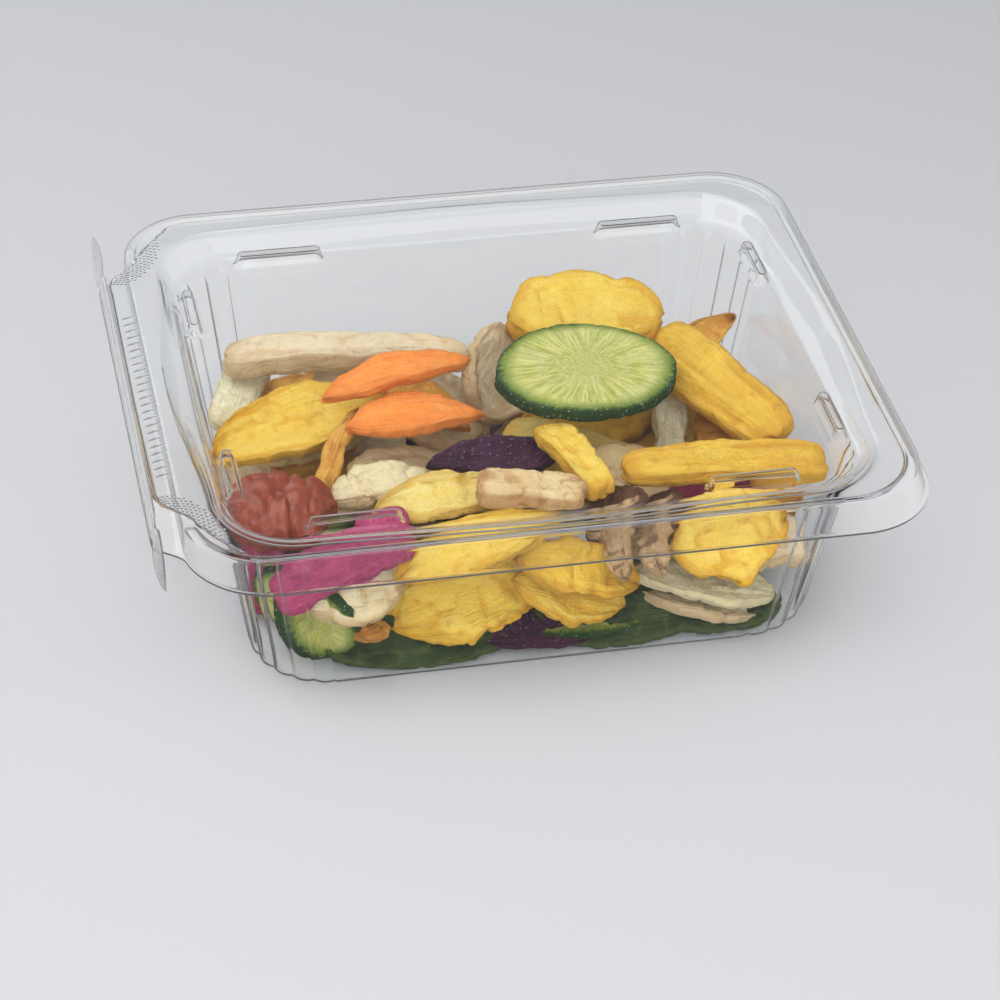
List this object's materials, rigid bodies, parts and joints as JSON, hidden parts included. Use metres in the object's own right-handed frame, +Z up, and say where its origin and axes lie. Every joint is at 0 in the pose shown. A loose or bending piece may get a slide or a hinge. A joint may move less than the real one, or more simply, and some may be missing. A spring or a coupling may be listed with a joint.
{
  "type": "clear hinged food pack with dried vegetable and fruit chips",
  "caption": "Clear thermoformed tray with fluted corners, a nesting recessed lid hinged on a tear strip at one end, and a fill of mixed dried fruit and vegetable chips.",
  "frame": {"origin": "middle of the tray's floor, on its underside", "axes": "+X along the pack, away from the hinge; +Y to the back; +Z up out of the tray"},
  "size_m": [0.1951, 0.158, 0.0579],
  "materials": {
    "clear_plastic": "clear, glossy",
    "green_slice": "dried vegetable flesh with a dark green rim",
    "orange_chip": "dried vegetable flesh",
    "beet_chip": "dried vegetable flesh",
    "mushroom": "dried mushroom",
    "dried_tomato": "wrinkled, slightly glossy skin",
    "yellow_chip": "dried fruit flesh",
    "amber_chip": "dried fruit flesh",
    "pale_chip": "dried fruit flesh"
  },
  "bodies": {
    "tray": {"tray": "clear_plastic", "apricot_mid": "amber_chip", "banana_floor_middle": "pale_chip", "banana_front_mid": "pale_chip", "banana_mid_left": "pale_chip", "beet_dark_mid": "beet_chip", "beet_floor_back": "beet_chip", "beet_left": "beet_chip", "beet_right": "beet_chip", "beet_slab_front": "beet_chip", "carrot_high": "orange_chip", "carrot_low": "orange_chip", "cassava_floor_left": "pale_chip", "crease_slice": "pale_chip", "cucumber_corner": "green_slice", "cucumber_floor_front": "green_slice", "cucumber_floor_left": "green_slice", "curl_right": "amber_chip", "ginger_front_right": "pale_chip", "gold_front_right": "yellow_chip", "gold_right": "yellow_chip", "jackfruit_centre": "yellow_chip", "jackfruit_floor_right": "yellow_chip", "jackfruit_front_long": "yellow_chip", "jackfruit_front_right": "yellow_chip", "jackfruit_mid_back": "yellow_chip", "long_stick_back": "pale_chip", "mushroom_front": "mushroom", "mushroom_top": "mushroom", "pale_fold_back": "pale_chip", "pale_left": "pale_chip", "pale_slab_low": "pale_chip", "pale_slab_mid": "pale_chip", "pear_front_low": "pale_chip", "pear_left_back": "pale_chip", "petal_right": "amber_chip", "potato_floor_right": "pale_chip", "potato_mid_centre": "pale_chip", "pumpkin_back_fold": "yellow_chip", "pumpkin_floor_left": "yellow_chip", "pumpkin_front_low": "yellow_chip", "pumpkin_front_mid": "yellow_chip", "pumpkin_left": "yellow_chip", "pumpkin_mid_right": "yellow_chip", "pumpkin_top": "yellow_chip", "radish_top": "green_slice", "square_left": "pale_chip", "stick_centre": "pale_chip", "stick_right": "pale_chip", "sweet_potato_left": "amber_chip", "sweet_potato_right": "amber_chip", "tan_block": "pale_chip", "tan_slice_centre": "pale_chip", "taro_floor_front": "pale_chip", "taro_mid_left": "pale_chip", "thin_curl_left": "amber_chip", "tomato_left": "dried_tomato", "wedge_front_low": "amber_chip"},
    "strip": {"tear_strip": "clear_plastic"},
    "lid": {"lid": "clear_plastic"}
  },
  "joints": [
    {"name": "strip_fold", "type": "hinge", "parent": "tray", "child": "strip", "pos_m": [-0.0991, 0, 0.0489], "axis": [0, -1, 0], "range_deg": [0, 90]},
    {"name": "lid_fold", "type": "hinge", "parent": "strip", "child": "lid", "pos_m": [-0.0976, 0, 0.05625], "axis": [0, -1, 0], "range_deg": [0, 90]}
  ],
  "couplings": [
    {"joint": "strip_fold", "follows": "lid_fold", "ratio": 1}
  ]
}
